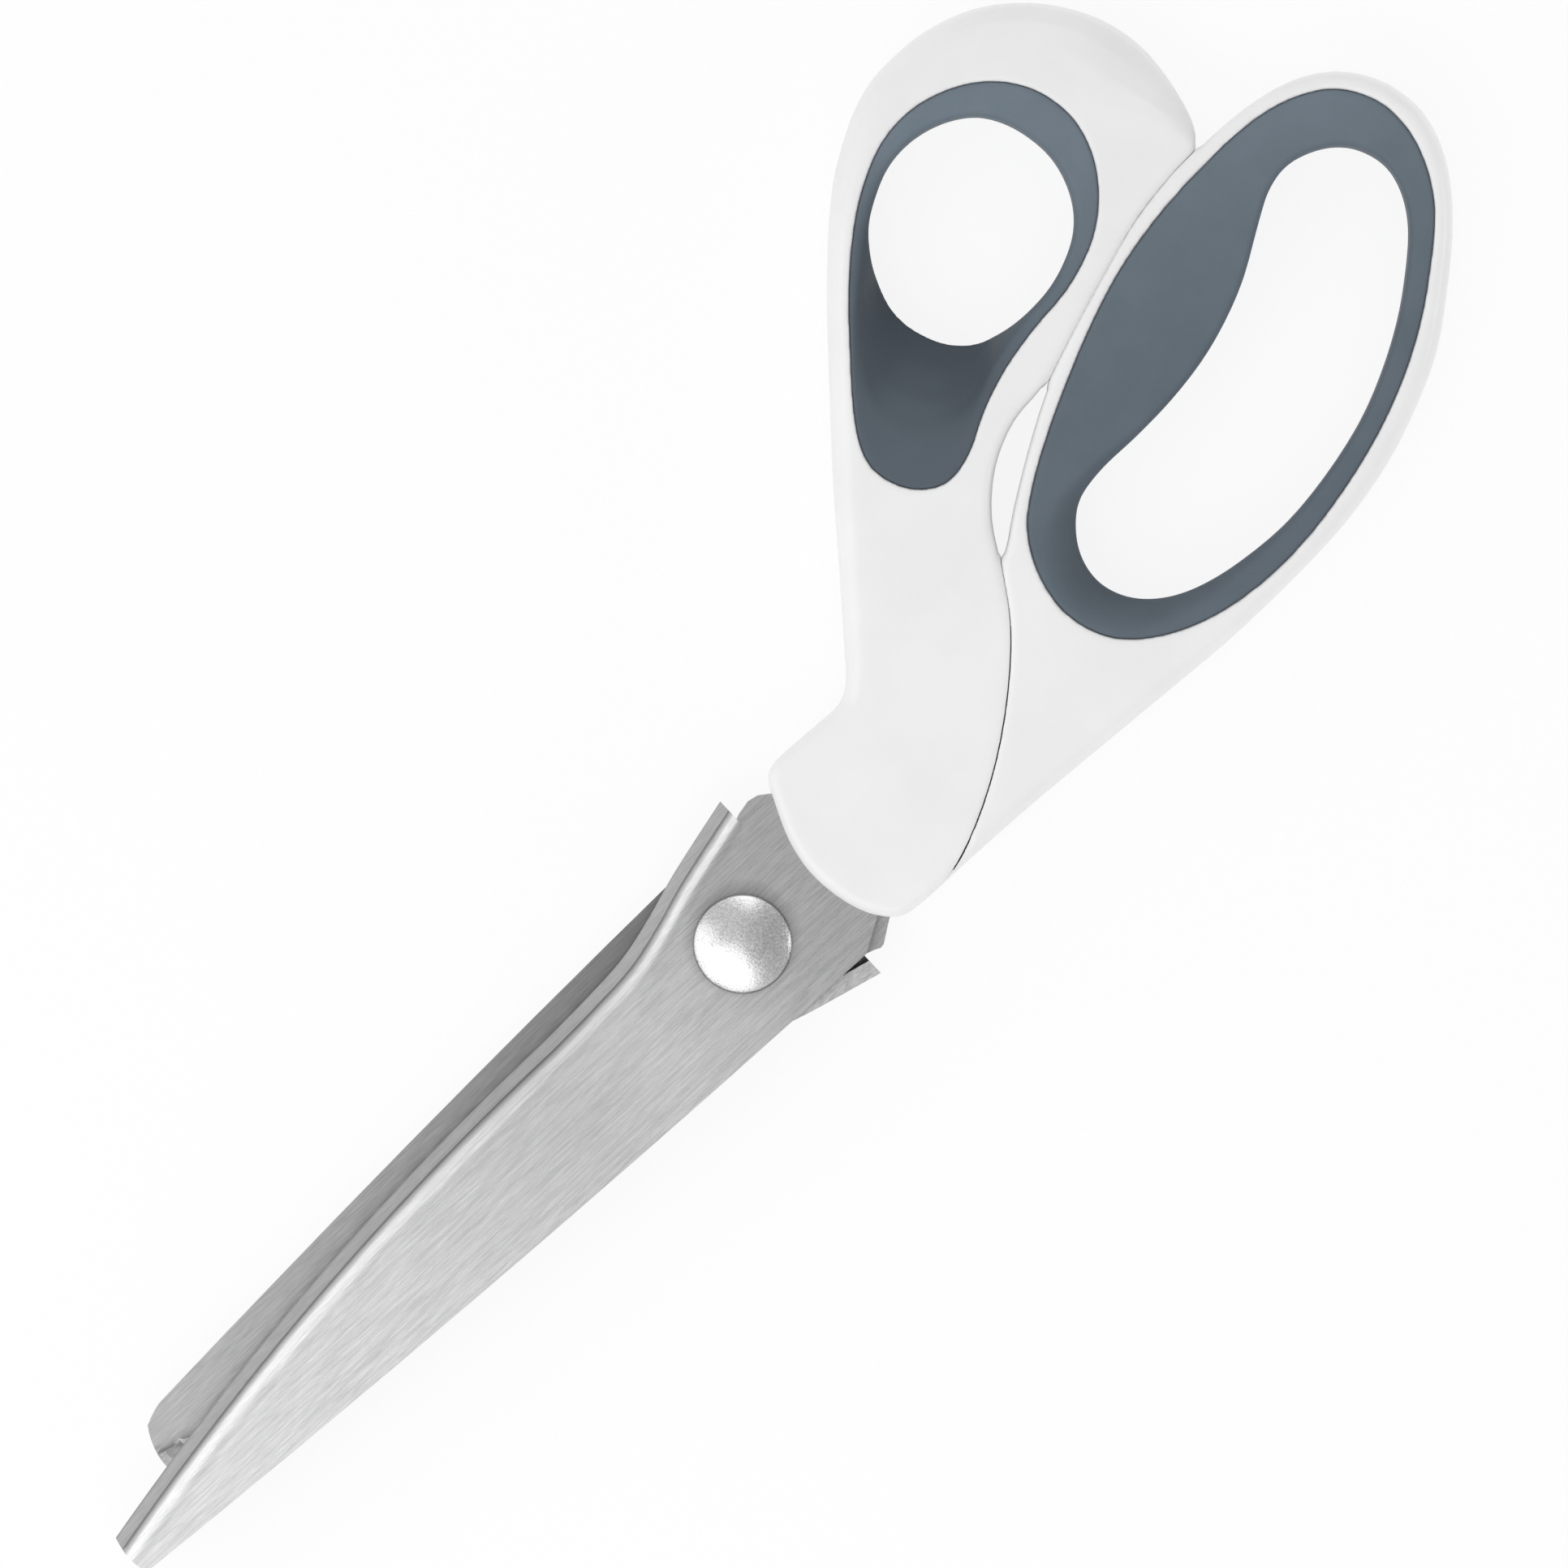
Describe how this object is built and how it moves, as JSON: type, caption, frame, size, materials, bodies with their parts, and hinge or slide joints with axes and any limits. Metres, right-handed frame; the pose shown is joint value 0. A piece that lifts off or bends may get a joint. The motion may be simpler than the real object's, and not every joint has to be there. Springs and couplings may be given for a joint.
{
  "type": "pinking shears",
  "caption": "Pinking shears with two pressed steel blades, meshing V teeth, a domed pivot bolt and offset handles with soft grips.",
  "frame": {"origin": "on the pivot axis, in the plane of the nut's outer face, which the closed shears lie on", "axes": "+X from the pivot towards the handles, +Y towards the thumb loop, +Z from the resting face towards the bolt head"},
  "size_m": [0.238, 0.0814, 0.013],
  "materials": {
    "blade_steel": "brushed along the blade",
    "bolt_steel": "polished",
    "pivot_steel": "plain zinc plated",
    "handle_plastic": "satin moulded",
    "grip_rubber": "matte moulded"
  },
  "bodies": {
    "finger_half": {"back_blade": "blade_steel", "finger_handle": "handle_plastic", "finger_grip": "grip_rubber", "pivot_bolt": "bolt_steel", "pivot_spacer": "pivot_steel", "spring_washer": "pivot_steel", "pivot_nut": "pivot_steel"},
    "thumb_half": {"front_blade": "blade_steel", "thumb_handle": "handle_plastic", "thumb_grip": "grip_rubber"}
  },
  "joints": [
    {"name": "blade_pivot", "type": "hinge", "parent": "finger_half", "child": "thumb_half", "pos_m": [0, 0, 0.0065], "axis": [0, 0, 1], "range_deg": [0, 48]}
  ]
}
